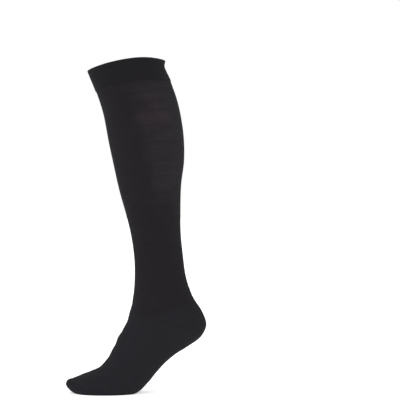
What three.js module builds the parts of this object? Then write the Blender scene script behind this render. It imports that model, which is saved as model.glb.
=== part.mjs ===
// A knee-high compression stocking, hollow and filled out as it is worn: the ball of the foot and the toes stand on the
// floor, the heel is raised and the leg leans forward. Millimetres, +Z up. The toe points along -X, and the part is
// symmetric about the plane y = 0. The origin is the middle of the top opening, where the band grips the leg.
//
// The wall is worked out from cross-sections. Each one is a closed ring through a front point, two side points and a
// back point. At the heel the rings share their front half and side points, and only their back halves fan out, as the
// courses of a knitted heel pocket do.
import * as THREE from "three";

// Driving dimensions
const WALL = 1.2; // thickness of the knitted wall
const BAND_PROUD = 0.8; // how far the doubled band stands outside the leg's wall
const SEAM_GAP = 0.3; // clear distance between neighbouring pieces
const FLOOR = -479.5; // height of the surface that the sole is pressed flat against
const COLUMNS = 44; // points round a ring, a multiple of four
const SAME_POINT = 1e-3; // points nearer than this are one point

// One row for each cross-section, from the top opening to the toe. front, side and back are [x, z] on the outline and
// on the line down the side, and width is the distance between the two side points. boxFront and boxBack square off
// the front and back halves of the ring, and rings is how many rings lead to the next row.
const SECTION_COLUMNS = ["name", "front", "side", "back", "width", "boxFront", "boxBack", "rings"];
const SECTION_ROWS = [
  ["rim", [-56.2, -7.5], [9, 8], [56.2, 7.5], 104, 0, 0, 1],
  ["neck", [-53.3, -14.8], [7, 0], [55.1, 0.1], 103, 0, 0, 2],
  ["bandEnd", [-43.8, -37.6], [11.3, -24.6], [65, -22.2], 106, 0, 0, 2],
  ["upperCalf", [-33.8, -69.2], [22.8, -61.2], [76.4, -57.5], 110, -0.01, 0.01, 3],
  ["calf", [-25.3, -112.6], [31.2, -106], [83.8, -100.8], 111, -0.02, 0.02, 2],
  ["lowerCalf", [-17.3, -150.1], [34.8, -144.2], [84.1, -139.1], 105, -0.02, 0.01, 2],
  ["shin", [-9.4, -183.9], [37, -179.5], [80, -175.1], 93, -0.02, 0, 3],
  ["lowerShin", [0.3, -219.2], [41.5, -215.5], [79.2, -211.8], 79, -0.01, -0.01, 2],
  ["upperAnkle", [7.9, -251.5], [44.4, -248.6], [79.8, -245.6], 68, 0, -0.03, 2],
  ["ankle", [12.1, -285.3], [47.3, -283.1], [83.2, -280.9], 63, 0, -0.04, 2],
  ["lowerAnkle", [12.7, -310.3], [47.3, -311.8], [87.6, -309.6], 65, 0, -0.04, 3],
  ["ankleBend", [11, -332.4], [43.7, -339], [93.1, -327.4], 68, 0, -0.02, 4],
  ["heelStart", [5.4, -360.3], [37, -366.2], [99.4, -341.9], 69, 0, 0.01, 2],
  ["heelBack", [5.4, -360.3], [37, -366.2], [111.3, -360.3], 69, 0, 0.05, 3],
  ["heelTip", [5.4, -360.3], [37, -366.2], [116.9, -379.4], 69, 0, 0.07, 3],
  ["heelUnder", [5.4, -360.3], [37, -366.2], [109.4, -396.3], 69, 0, 0.07, 3],
  ["heelSole", [5.4, -360.3], [37, -366.2], [91.4, -410.3], 69, 0, 0.06, 2],
  ["heelEnd", [5.4, -360.3], [37, -366.2], [71.6, -423.1], 69, 0, 0.04, 3],
  ["instep", [-2.2, -382.3], [26.8, -392.6], [56.9, -435.3], 68, -0.02, 0.04, 3],
  ["arch", [-10.3, -396.3], [18.7, -413.2], [45.1, -448.5], 70, -0.03, 0.06, 3],
  ["waist", [-17.6, -412.5], [9.8, -432.3], [33.4, -462.5], 75, -0.03, 0.08, 3],
  ["ballBack", [-26.8, -428.4], [-1.2, -447], [21.6, -475.7], 83, -0.02, 0.1, 3],
  ["ball", [-38.2, -441.1], [-15.1, -460.3], [7.6, -486.7], 90, 0, 0.1, 2],
  ["toeRoot", [-50.7, -447.5], [-31.3, -467.6], [-15.9, -488.2], 92, 0.02, 0.1, 2],
  ["toes", [-62.9, -452], [-48.2, -471.3], [-40.9, -488.2], 87, 0.04, 0.1, 2],
  ["toeBox", [-73.2, -456.3], [-65, -472.3], [-63, -483.5], 74, 0.04, 0.08, 2],
  ["toeEnd", [-81.2, -459.8], [-77.2, -469.8], [-77, -478.2], 55, 0.03, 0.04, 2],
  ["tip", [-86.8, -462.8], [-86, -467.6], [-85.8, -472.2], 31, 0, 0, 1],
  ["toeSeam", [-89, -467], [-89, -467], [-89, -467], 12, 0, 0, 0],
];
const SECTIONS = SECTION_ROWS.map((row) => Object.fromEntries(row.map((value, k) => [SECTION_COLUMNS[k], value])));

// The largest folds, soft troughs across the front of the ankle and the instep. along counts sections down the front
// line and breadth is in sections, around is degrees from the front and reach is how many degrees a fold runs to each
// side until it has faded, and depth is in millimetres.
const FOLD_COLUMNS = ["along", "around", "breadth", "reach", "depth"];
const FOLD_ROWS = [
  [11.6, -10, 0.18, 58, 0.7],
  [12.6, 8, 0.26, 66, 0.9],
  [13.6, -6, 0.3, 56, 0.7],
  [14.7, 10, 0.32, 50, 0.9],
  [15.9, -8, 0.34, 44, 0.7],
];
const FADED = 0.05; // the share of a fold's depth that is left at its reach
const FOLDS = FOLD_ROWS.map((row) => Object.fromEntries(row.map((value, k) => [FOLD_COLUMNS[k], value])));

const rowOf = (name) => SECTIONS.findIndex((section) => section.name === name);
const HEEL_START = rowOf("heelStart");
const HEEL_END = rowOf("heelEnd");
const HEEL_ROWS = HEEL_END - HEEL_START;

// Where the chord of a section passes nearest to its side point, which the ring bulges out to.
function middleOf(front, side, back) {
  const chord = new THREE.Line3(front, back);
  return chord.closestPointToPoint(side, true, new THREE.Vector3());
}

// The front and side lines stand still across the heel rows, so their curves leave those rows out.
const inPlane = ([x, z]) => new THREE.Vector3(x, 0, z);
const outsideHeel = SECTIONS.filter((_, row) => row <= HEEL_START || row > HEEL_END);
const curveThrough = (points) => new THREE.CatmullRomCurve3(points, false, "centripetal");
const frontCurve = curveThrough(outsideHeel.map(({ front }) => inPlane(front)));
const sideCurve = curveThrough(outsideHeel.map(({ side, width }) => inPlane(side).setY(width / 2)));
const frontMiddles = outsideHeel.map(({ front, side, back }) => middleOf(...[front, side, back].map(inPlane)));
const frontMiddleCurve = curveThrough(frontMiddles);
const backCurve = curveThrough(SECTIONS.map(({ back }) => inPlane(back)));

// The count of sections down the front at a place on the table, which stands still across the heel rows.
function frontCount(place) {
  return place - THREE.MathUtils.clamp(place - HEEL_START, 0, HEEL_ROWS);
}

function between(column, place) {
  const row = Math.min(Math.floor(place), SECTIONS.length - 2);
  return THREE.MathUtils.lerp(SECTIONS[row][column], SECTIONS[row + 1][column], place - row);
}

// How far the folds draw the wall in at a count of sections and an angle from the front.
function foldDepth(count, angle) {
  const degrees = THREE.MathUtils.radToDeg(angle > Math.PI ? angle - 2 * Math.PI : angle);
  return FOLDS.reduce((sum, fold) => {
    const down = (count - fold.along) / fold.breadth;
    const round = (degrees - fold.around) / fold.reach;
    return sum + fold.depth * Math.exp(-(down ** 2)) * FADED ** (round ** 2);
  }, 0);
}

// One ring of points, starting at the front and turning towards +Y.
function ringAt(place) {
  const count = frontCount(place);
  const along = count / (outsideHeel.length - 1);
  const front = frontCurve.getPoint(along);
  const side = sideCurve.getPoint(along);
  const back = backCurve.getPoint(place / (SECTIONS.length - 1));
  const halfWidth = side.y;
  side.y = 0;
  const frontMiddle = frontMiddleCurve.getPoint(along);
  const backMiddle = middleOf(front, side, back);
  return Array.from({ length: COLUMNS }, (_, column) => {
    const angle = (2 * Math.PI * column) / COLUMNS;
    const [across, round] = [Math.abs(Math.cos(angle)), Math.sin(angle)];
    const inFront = Math.cos(angle) >= 0;
    const [end, middle] = inFront ? [front, frontMiddle] : [back, backMiddle];
    const boxing = between(inFront ? "boxFront" : "boxBack", place) * Math.sin(2 * angle) ** 2;
    const offset = end.clone().sub(middle).multiplyScalar(across).setY(halfWidth * round);
    offset.addScaledVector(side.clone().sub(middle), round ** 2).multiplyScalar(1 + boxing);
    offset.setLength(Math.max(offset.length() - foldDepth(count, angle), 0));
    const point = middle.clone().add(offset);
    return point.setZ(Math.max(point.z, FLOOR));
  });
}

// The rings, and for each section the number of its ring.
const ringOfRow = [];
const rings = SECTIONS.flatMap((section, row) => {
  ringOfRow.push(row ? ringOfRow[row - 1] + SECTIONS[row - 1].rings : 0);
  return Array.from({ length: section.rings || 1 }, (_, k) => ringAt(row + k / (section.rings || 1)));
});

// Points that lie together, as along the toe's seam, are one vertex with one normal.
const vertices = [];
const vertexAt = new Map();
const grid = rings.map((ring) =>
  ring.map((point) => {
    const key = point.toArray().map((value) => Math.round(value / SAME_POINT)).join();
    if (!vertexAt.has(key)) vertexAt.set(key, vertices.push({ point, normal: new THREE.Vector3() }) - 1);
    return vertexAt.get(key);
  }),
);

// The triangles of the wall's outer face between two rings, from one column to another.
function patch(firstRing, lastRing, firstColumn = 0, lastColumn = COLUMNS) {
  const triangles = [];
  for (let ring = firstRing; ring < lastRing; ring++)
    for (let column = firstColumn; column < lastColumn; column++) {
      const next = (column + 1) % COLUMNS;
      const [a, b] = [grid[ring][column], grid[ring][next]];
      const [c, d] = [grid[ring + 1][next], grid[ring + 1][column]];
      triangles.push([a, b, c], [a, c, d]);
    }
  return triangles.filter(([a, b, c]) => a !== b && b !== c && c !== a);
}

for (const triangle of patch(0, rings.length - 1)) {
  const [a, b, c] = triangle.map((v) => vertices[v].point);
  const areaNormal = new THREE.Vector3().subVectors(b, a).cross(new THREE.Vector3().subVectors(c, a));
  triangle.forEach((v) => vertices[v].normal.add(areaNormal));
}
vertices.forEach(({ normal }) => normal.normalize());

// The edges of a patch that only one of its triangles has.
function openEdges(triangles) {
  const edges = triangles.flatMap(([a, b, c]) => [[a, b], [b, c], [c, a]]);
  const keys = new Set(edges.map((edge) => edge.join()));
  return edges.filter(([a, b]) => !keys.has([b, a].join()));
}

// A piece of cloth over a patch: its outer and inner faces, and walls along its edges, drawn back by half a seam gap.
function clothPiece(name, triangles, proud, material) {
  const edges = openEdges(triangles);
  const onEdge = new Set(edges.flat());
  const drawBack = new Map([...onEdge].map((v) => [v, new THREE.Vector3()]));
  for (const triangle of triangles)
    for (const v of triangle.filter((corner) => onEdge.has(corner)))
      triangle.forEach((other) => drawBack.get(v).add(vertices[other].point).sub(vertices[v].point));
  drawBack.forEach((shift) => shift.setLength(SEAM_GAP / 2));

  const numbers = [...new Set(triangles.flat())];
  const place = new Map(numbers.map((v, k) => [v, k]));
  const layer = (offset) =>
    numbers.flatMap((v) => {
      const point = vertices[v].point.clone().addScaledVector(vertices[v].normal, offset);
      return point.add(drawBack.get(v) ?? new THREE.Vector3()).toArray();
    });
  const outer = (v) => place.get(v);
  const inner = (v) => place.get(v) + numbers.length;
  const faces = triangles.flatMap(([a, b, c]) => [outer(a), outer(b), outer(c), inner(c), inner(b), inner(a)]);
  const walls = edges.flatMap(([a, b]) => [outer(b), outer(a), inner(a), outer(b), inner(a), inner(b)]);

  const geometry = new THREE.BufferGeometry();
  geometry.setAttribute("position", new THREE.Float32BufferAttribute([...layer(proud), ...layer(-WALL)], 3));
  geometry.setIndex([...faces, ...walls]);
  geometry.computeVertexNormals();
  const mesh = new THREE.Mesh(geometry, material);
  mesh.name = name;
  return mesh;
}

const knit = (color, roughness) => new THREE.MeshStandardMaterial({ color, roughness, metalness: 0 });
const bandKnit = knit(0x242326, 0.88);
const legKnit = knit(0x2a282b, 0.86);
const footKnit = knit(0x262528, 0.9);

const ringOf = (name) => ringOfRow[rowOf(name)];
const QUARTER = COLUMNS / 4;
const lastRing = rings.length - 1;

const stocking = new THREE.Group();
stocking.name = "compression_stocking";
stocking.add(
  clothPiece("top_band", patch(0, ringOf("bandEnd")), BAND_PROUD, bandKnit),
  clothPiece("leg", patch(ringOf("bandEnd"), ringOf("heelStart")), 0, legKnit),
  clothPiece("heel", patch(ringOf("heelStart"), ringOf("heelEnd"), QUARTER, 3 * QUARTER), 0, footKnit),
  clothPiece("foot", patch(ringOf("heelEnd"), ringOf("toes")), 0, footKnit),
  clothPiece("toe", patch(ringOf("toes"), lastRing), 0, footKnit),
);

export default stocking;
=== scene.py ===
"""A knee-high compression stocking in fine black knit, hollow and in the shape that it takes when worn.

The stocking is one circular-knitted tube. Its stretches are a doubled top band, a graduated leg, a heel
pocket, a foot and a toe cap. Each is a thin shell over nearly the same cross-sections as the solid that it
stands for, with creases laid one by one and knit loops that follow the wales and courses.
"""

import logging
import math
from dataclasses import dataclass, field
from enum import Enum
from typing import Callable, Iterable, Optional, Sequence

import bmesh
import bpy
import numpy as np
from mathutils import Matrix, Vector
from mathutils.kdtree import KDTree


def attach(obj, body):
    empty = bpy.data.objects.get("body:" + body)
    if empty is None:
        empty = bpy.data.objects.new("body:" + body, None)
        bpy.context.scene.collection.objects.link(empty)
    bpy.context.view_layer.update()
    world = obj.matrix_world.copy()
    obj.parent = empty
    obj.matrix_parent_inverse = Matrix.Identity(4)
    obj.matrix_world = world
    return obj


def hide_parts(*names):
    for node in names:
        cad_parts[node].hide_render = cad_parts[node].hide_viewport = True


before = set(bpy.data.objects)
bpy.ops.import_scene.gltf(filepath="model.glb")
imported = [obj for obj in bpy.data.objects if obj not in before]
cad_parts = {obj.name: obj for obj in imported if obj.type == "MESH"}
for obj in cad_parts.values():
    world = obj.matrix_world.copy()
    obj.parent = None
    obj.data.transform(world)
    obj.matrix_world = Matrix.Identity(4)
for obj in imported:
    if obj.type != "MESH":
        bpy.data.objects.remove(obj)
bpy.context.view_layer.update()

log = logging.getLogger("stocking")

MM = 0.001
BODY = "root"
FULL_TURN = 2 * math.pi
QUARTER_TURN = 0.5 * math.pi
THREE_QUARTER_TURN = 1.5 * math.pi
WALES = 220  # knit loops in one course round the tube
COURSE = 0.95 * MM  # height of one course as worn, on the line down the side
CLOTH = 1.0 * MM  # thickness of the knit
NAP = 0.35  # millimetres by which the loops stand out of the plain surface
FLOOR = -479.5 * MM  # height that the sole is pressed flat against
COURSE_STEPS = 1400  # points down the tube at which the courses are counted
HEEL_STEPS = 241  # points down the heel at which its length is measured
GIRTH_STEPS = 120  # points round a ring at which its girth is measured
GORE = 0.5  # where the heel's gore lies, from 0 at the pocket's upper edge to 1 at its lower one
SHARP = math.radians(50)  # a fold of the cloth sharper than this keeps its edge
TINY = 1e-12  # keeps what is divided by above zero
LEAST_STEP = 1e-9  # keeps a step along the surface, or its reach from the middle, above zero
KNIT_MAP = "knit"  # the UV map that counts wales and courses
STRETCH_LAYER = "stretch"  # the attribute that says how far the leg's knit is stretched


class Held(Enum):
    """How a sheet of cloth is held."""

    STRETCHED = "stretched"


class Slot(Enum):
    """The record's material slots."""

    BAND = "band_knit"
    LEG = "leg_knit"
    FOOT = "foot_knit"


# Cross-sections


@dataclass(frozen=True)
class Section:
    """One ring round the stocking, in millimetres.

    front, side and back are (x, z) points on the outline and on the line down the side, and width is the size
    across. box_front and box_back are the shares by which its corners stand out past an ellipse.
    """

    name: str
    front: tuple[float, float]
    side: tuple[float, float]
    back: tuple[float, float]
    width: float
    box_front: float
    box_back: float


HEEL_FRONT = (5.4, -360.3)
HEEL_SIDE = (37, -366.2)

SECTIONS = (
    Section("rim", (-56.2, -7.5), (9, 7.4), (56.2, 7.5), 104, 0, 0),
    Section("neck", (-53.3, -14.8), (7, 0), (55.1, 0.1), 103, 0, 0),
    Section("band_end", (-43.8, -37.6), (11.3, -24.6), (65, -22.2), 106, 0, 0),
    Section("upper_calf", (-33.8, -69.2), (22.8, -61.2), (76.4, -57.5), 110, -0.01, 0.01),
    Section("calf", (-25.3, -112.6), (31.2, -106), (83.8, -100.8), 111, -0.02, 0.02),
    Section("lower_calf", (-17.3, -150.1), (34.8, -144.2), (84.5, -139.1), 105, -0.02, 0.01),
    Section("shin", (-9.4, -183.9), (37, -179.5), (80.4, -175.1), 93, -0.02, 0),
    Section("lower_shin", (0.3, -219.2), (41.5, -215.5), (79.2, -211.8), 79, -0.01, -0.01),
    Section("upper_ankle", (7.9, -251.5), (44.4, -248.6), (79.8, -245.6), 68, 0, -0.03),
    Section("ankle", (12.1, -285.3), (47.3, -283.1), (83.2, -280.9), 63, 0, -0.04),
    Section("lower_ankle", (12.7, -310.3), (47.3, -311.8), (87.6, -309.6), 65, 0, -0.04),
    Section("ankle_bend", (11, -332.4), (43.7, -339), (93.1, -327.4), 68, 0, -0.02),
    Section("heel_start", HEEL_FRONT, HEEL_SIDE, (99.4, -341.9), 69, 0, 0.01),
    Section("heel_back", HEEL_FRONT, HEEL_SIDE, (111.3, -360.3), 69, 0, 0.05),
    Section("heel_tip", HEEL_FRONT, HEEL_SIDE, (117.4, -379.6), 69, 0, 0.07),
    Section("heel_under", HEEL_FRONT, HEEL_SIDE, (109.8, -396.6), 69, 0, 0.07),
    Section("heel_sole", HEEL_FRONT, HEEL_SIDE, (91.5, -410.6), 69, 0, 0.06),
    Section("heel_end", HEEL_FRONT, HEEL_SIDE, (71.6, -423.1), 69, 0, 0.04),
    Section("instep", (-2.6, -382.1), (26.8, -392.6), (56.9, -435.3), 68, -0.02, 0.04),
    Section("arch", (-10.8, -396), (18.7, -413.2), (45.1, -448.5), 70, -0.03, 0.06),
    Section("waist", (-18.4, -412.1), (9.8, -432.3), (33.4, -462.5), 75, -0.03, 0.08),
    Section("ball_back", (-27.2, -428), (-1.2, -447), (20.6, -475.6), 83, -0.02, 0.1),
    Section("ball", (-38.2, -441.1), (-15.1, -460.3), (3.4, -484.8), 90, 0, 0.1),
    Section("toe_root", (-50.7, -447.5), (-31.3, -467.6), (-15.9, -488.2), 92, 0.02, 0.1),
    Section("toes", (-62.9, -452), (-48.2, -471.3), (-40.9, -488.2), 87, 0.04, 0.1),
    Section("toe_box", (-73.2, -456.3), (-65, -472.3), (-63, -483.5), 74, 0.04, 0.08),
    Section("toe_end", (-80.6, -459), (-77.2, -469.4), (-77.3, -478.8), 55, 0.03, 0.04),
    Section("tip", (-86.6, -461.3), (-86.8, -466), (-85.8, -471.9), 33, 0, 0),
    Section("toe_seam", (-88.6, -465.8), (-88.6, -465.8), (-88.6, -465.8), 14, 0, 0),
)
ROW = {section.name: row for row, section in enumerate(SECTIONS)}
HEEL_ROWS = ROW["heel_end"] - ROW["heel_start"]


@dataclass(frozen=True)
class Crease:
    """A soft trough in the cloth.

    along counts sections down the front and breadth is in sections. around is degrees from the front, and
    reach is how far the crease runs to each side until it has faded. depth is in millimetres, and slant is
    how many sections the crease drops in 90 degrees.
    """

    along: float
    around: float
    breadth: float
    reach: float
    depth: float
    slant: float


FADED = 0.05  # the share of a crease's depth that is left at its reach

INSTEP_CREASES = (
    Crease(11.6, -10, 0.18, 58, 0.7, 0.1),
    Crease(12.6, 8, 0.26, 66, 0.9, -0.12),
    Crease(13.6, -6, 0.3, 56, 0.7, 0.1),
    Crease(14.7, 10, 0.32, 50, 0.9, -0.1),
    Crease(15.9, -8, 0.34, 44, 0.7, 0.08),
    Crease(12.15, -30, 0.12, 34, 0.35, 0.5),
    Crease(13.1, 34, 0.13, 30, 0.3, -0.45),
    Crease(14.2, -26, 0.14, 28, 0.3, 0.4),
    Crease(15.3, 22, 0.15, 26, 0.28, -0.35),
)
ACHILLES_CREASES = (
    Crease(10.7, 172, 0.12, 40, 0.4, 0.15),
    Crease(11.15, 187, 0.13, 46, 0.55, -0.12),
    Crease(11.6, 176, 0.12, 38, 0.4, 0.1),
)
LEG_CREASES = (
    Crease(2.35, 40, 0.1, 34, 0.25, 0.12),
    Crease(2.3, 200, 0.09, 42, 0.28, -0.1),
    Crease(2.6, -75, 0.12, 30, 0.22, 0.1),
    Crease(8.6, -58, 0.14, 36, 0.3, 0.25),
    Crease(9.5, -70, 0.14, 40, 0.32, 0.3),
    Crease(9.1, 64, 0.15, 38, 0.3, -0.28),
    Crease(10.3, 78, 0.14, 36, 0.34, -0.25),
    Crease(10.5, -84, 0.13, 38, 0.34, 0.22),
)
CREASES = INSTEP_CREASES + ACHILLES_CREASES + LEG_CREASES


class SectionCurve:
    """A smooth curve through points, one span for each pair of neighbours.

    The slopes at the ends of a span come from the points around it, weighted by the roots of their distances.
    """

    NEAR = 1e-4

    def __init__(self, points: Iterable[Sequence[float]]) -> None:
        """Keeps the points, with one more beyond each end.

        Args:
            points: the points that the curve passes through, in order.
        """
        inner = np.array(list(points), float)
        first = 2 * inner[0] - inner[1]
        last = 2 * inner[-1] - inner[-2]
        self.points = np.vstack([first, inner, last])
        self.spans = len(inner) - 1

    def at(self, where: np.ndarray) -> np.ndarray:
        """Points on the curve.

        Args:
            where: places along the curve, counted in spans.

        Returns:
            One point for each place.
        """
        span = np.clip(np.floor(where).astype(int), 0, self.spans - 1)
        t = (where - span)[..., None]
        p = [self.points[span + k] for k in range(4)]
        gaps = [np.sqrt(np.linalg.norm(p[k + 1] - p[k], axis=-1, keepdims=True)) for k in range(3)]
        middle = np.where(gaps[1] < self.NEAR, 1.0, gaps[1])
        before = np.where(gaps[0] < self.NEAR, middle, gaps[0])
        after = np.where(gaps[2] < self.NEAR, middle, gaps[2])
        leave = (p[1] - p[0]) / before - (p[2] - p[0]) / (before + middle) + (p[2] - p[1]) / middle
        arrive = (p[2] - p[1]) / middle - (p[3] - p[1]) / (middle + after) + (p[3] - p[2]) / after
        leave, arrive = leave * middle, arrive * middle
        square = -3 * p[1] + 3 * p[2] - 2 * leave - arrive
        cube = 2 * p[1] - 2 * p[2] + leave + arrive
        return p[1] + leave * t + square * t**2 + cube * t**3


def middle_of(front: np.ndarray, side: np.ndarray, back: np.ndarray) -> np.ndarray:
    """The point of the chord from front to back that lies nearest to the side point.

    Args:
        front: front points of the rings, as (x, z).
        side: side points.
        back: back points.

    Returns:
        One point on each chord.
    """
    chord = back - front
    length = np.maximum((chord**2).sum(-1, keepdims=True), TINY)
    share = np.clip(((side - front) * chord).sum(-1, keepdims=True) / length, 0, 1)
    return front + share * chord


class WornForm:
    """The outer surface of the worn stocking.

    A point on it is given by its place down the table of sections and its angle round from the front.
    """

    WAVE = 0.16  # millimetres
    RIPPLE = 0.07  # millimetres

    def __init__(self, sections: Sequence[Section], creases: Sequence[Crease]) -> None:
        """Lays curves down the front, sides and back.

        Args:
            sections: the cross-sections, from the rim to the toe.
            creases: the folds that are pressed into the surface.
        """
        self.sections = sections
        self.creases = creases
        outside_heel = [*sections[: ROW["heel_start"] + 1], *sections[ROW["heel_end"] + 1 :]]
        fronts = np.array([ring.front for ring in outside_heel], float)
        sides = np.array([ring.side for ring in outside_heel], float)
        backs = np.array([ring.back for ring in outside_heel], float)
        half_widths = np.array([[ring.width / 2] for ring in outside_heel])
        self.front = SectionCurve(fronts)
        self.side = SectionCurve(np.hstack([sides, half_widths]))
        self.front_middle = SectionCurve(middle_of(fronts, sides, backs))
        self.back = SectionCurve([ring.back for ring in sections])
        self.boxes = np.array([(ring.box_front, ring.box_back) for ring in sections])

    @staticmethod
    def front_count(place: np.ndarray) -> np.ndarray:
        """The count of sections down the front, which stands still across the heel rows."""
        return place - np.clip(place - ROW["heel_start"], 0, HEEL_ROWS)

    def crease_depth(self, count: np.ndarray, angle: np.ndarray) -> np.ndarray:
        """How far the creases draw the cloth in, in millimetres.

        Args:
            count: places down the front, in sections.
            angle: angles from the front, in radians.

        Returns:
            The depth at each point.
        """
        depth = np.zeros(np.broadcast(count, angle).shape)
        for crease in self.creases:
            round_by = (np.degrees(angle) - crease.around + 180) % 360 - 180
            down = (count - crease.along - crease.slant * round_by / 90) / crease.breadth
            depth += crease.depth * np.exp(-(down**2)) * FADED ** ((round_by / crease.reach) ** 2)
        return depth

    def unevenness(self, count: np.ndarray, angle: np.ndarray) -> np.ndarray:
        """The slight waviness of stretched knit: a long wave and a finer ripple, both along and around.

        Args:
            count: places down the front, in sections.
            angle: angles from the front, in radians.

        Returns:
            How far it draws the cloth in at each point, in millimetres.
        """
        wave = np.sin(2.3 * count + 1.7 * np.sin(angle) + 0.6) * np.sin(3 * angle + 0.8 * count)
        ripple = np.sin(5.1 * count - 2 * np.cos(2 * angle)) * np.cos(5 * angle + 1.9)
        return self.WAVE * wave + self.RIPPLE * ripple

    def at(self, place: np.ndarray, angle: np.ndarray) -> np.ndarray:
        """Points on the surface.

        Args:
            place: places down the table of sections.
            angle: angles round from the front towards +Y, in radians.

        Returns:
            The points in metres, as (..., 3).
        """
        place, angle = np.broadcast_arrays(np.asarray(place, float), np.asarray(angle, float))
        count = self.front_count(place)
        front, back = self.front.at(count), self.back.at(place)
        side_and_width = self.side.at(count)
        side, half_width = side_and_width[..., :2], side_and_width[..., 2]
        in_front = np.cos(angle) >= 0
        end = np.where(in_front[..., None], front, back)
        middle = np.where(in_front[..., None], self.front_middle.at(count), middle_of(front, side, back))
        rows = np.arange(len(self.sections))
        boxes = [np.interp(place, rows, self.boxes[:, k]) for k in range(2)]
        boxing = np.where(in_front, boxes[0], boxes[1]) * np.sin(2 * angle) ** 2
        across, around = np.abs(np.cos(angle))[..., None], np.sin(angle)
        fore_and_aft = (end - middle) * across
        flat = fore_and_aft + (side - middle) * (around**2)[..., None]
        offset = np.stack([flat[..., 0], half_width * around, flat[..., 1]], -1) * (1 + boxing)[..., None]
        outward = np.stack([fore_and_aft[..., 0], half_width * around, fore_and_aft[..., 1]], -1)
        length = np.linalg.norm(outward, axis=-1, keepdims=True)
        drawn_in = (self.crease_depth(count, angle) + self.unevenness(count, angle) - NAP)[..., None]
        offset -= outward * np.minimum(drawn_in / np.maximum(length, LEAST_STEP), 1)
        points = np.stack([middle[..., 0], np.zeros(place.shape), middle[..., 1]], -1) + offset
        points *= MM
        points[..., 2] = np.maximum(points[..., 2], FLOOR)
        return points

    def normal(self, place: np.ndarray, angle: np.ndarray) -> np.ndarray:
        """Unit normals that point out of the surface, by small steps along and around it.

        Args:
            place: places down the table of sections.
            angle: angles round from the front towards +Y, in radians.

        Returns:
            The normals, as (..., 3).
        """
        step = 1e-3
        place, angle = np.broadcast_arrays(np.asarray(place, float), np.asarray(angle, float))
        low, high = np.maximum(place - step, 0), np.minimum(place + step, len(self.sections) - 1)
        down = self.at(high, angle) - self.at(low, angle)
        around = self.at(place, angle + step) - self.at(place, angle - step)
        normal = np.cross(around, down)
        return normal / np.maximum(np.linalg.norm(normal, axis=-1, keepdims=True), TINY)


FORM = WornForm(SECTIONS, CREASES)


def lengths_along(points: np.ndarray, axis: int = 0) -> np.ndarray:
    """Lengths along lines of points, from the first point of each line.

    Args:
        points: the points, with their coordinates last.
        axis: the axis along which the points of a line follow each other.

    Returns:
        The length at each point, in the unit of the points.
    """
    steps = np.linalg.norm(np.diff(points, axis=axis), axis=-1)
    start = np.zeros_like(steps.take([0], axis))
    return np.concatenate([start, np.cumsum(steps, axis=axis)], axis=axis)


def course_at(place: np.ndarray) -> np.ndarray:
    """The number of the course at each place.

    Courses are counted along the side line, or along the back line in the heel.

    Args:
        place: places down the table of sections.

    Returns:
        Course numbers, rising from the rim.
    """
    fine = np.linspace(0, len(SECTIONS) - 1, COURSE_STEPS)
    side = FORM.side.at(FORM.front_count(fine))[:, :2]
    back = FORM.back.at(fine)
    side_steps, back_steps = (np.linalg.norm(np.diff(line, axis=0), axis=1) for line in (side, back))
    in_heel = (fine > ROW["heel_start"]) & (fine < ROW["heel_end"])
    steps = np.where(in_heel[1:], back_steps, side_steps)
    return np.interp(place, fine, np.concatenate([[0], np.cumsum(steps)]) * MM / COURSE)


HALF_TURN = np.linspace(0, math.pi, 121)
SIDE = len(HALF_TURN) // 2


def half_ring_lengths(place: np.ndarray) -> np.ndarray:
    """Lengths round half of each ring, from the front to each angle of HALF_TURN.

    Args:
        place: places down the table of sections.

    Returns:
        The lengths, as (places, angles), in metres.
    """
    return lengths_along(FORM.at(place[:, None], HALF_TURN[None, :]), axis=1)


def front_shares() -> np.ndarray:
    """The share of each half ring that lies before the side line.

    Returns:
        One share for each count down the front, with one for all of the heel's rings.
    """
    lengths = half_ring_lengths(np.arange(len(SECTIONS), dtype=float))
    shares = lengths[:, SIDE] / lengths[:, -1]
    at_heel = shares[[ROW["heel_start"], ROW["heel_end"]]].mean()
    return np.concatenate([shares[: ROW["heel_start"]], [at_heel], shares[ROW["heel_end"] + 1 :]])


FRONT_SHARES = front_shares()


def wale_at(place: np.ndarray, angle: np.ndarray) -> np.ndarray:
    """The number of the wale at each point.

    Wales lie evenly from the front to the side line, and evenly from there to the back.

    Args:
        place: places down the table of sections, as (rows, columns).
        angle: angles round from the front, from 0 to a full turn, of the same shape.

    Returns:
        Wale numbers, from 0 at the front to WALES after a full turn.
    """
    row_places, which = np.unique(place, return_inverse=True)
    lengths = half_ring_lengths(row_places)
    counts = FORM.front_count(row_places)
    shares = np.interp(counts, np.arange(len(FRONT_SHARES)), FRONT_SHARES)[:, None]
    to_side = lengths[:, SIDE : SIDE + 1]
    before = shares * lengths / to_side
    behind = shares + (1 - shares) * (lengths - to_side) / (lengths[:, -1:] - to_side)
    round_by = np.where(HALF_TURN[None, :] < QUARTER_TURN, before, behind)
    folded = np.where(angle > math.pi, FULL_TURN - angle, angle)
    step = folded / math.pi * (len(HALF_TURN) - 1)
    low = np.clip(np.floor(step).astype(int), 0, len(HALF_TURN) - 2)
    which = which.reshape(place.shape)
    turned = round_by[which, low] * (low + 1 - step) + round_by[which, low + 1] * (step - low)
    wale = turned * WALES / 2
    return np.where(angle > math.pi, WALES - wale, wale)


RELAXED_GIRTHS = {  # millimetres round the tube before it is put on, from the band down to the toe
    "rim": 252,
    "band_end": 246,
    "calf": 240,
    "ankle": 176,
    "heel_start": 230,
    "ball": 214,
    "toe_seam": 130,
}


def relaxed_girth(place: np.ndarray) -> np.ndarray:
    """The relaxed tube's girth at each place, in metres."""
    knots = [ROW[name] for name in RELAXED_GIRTHS]
    return np.interp(place, knots, np.array(list(RELAXED_GIRTHS.values())) * MM)


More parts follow.
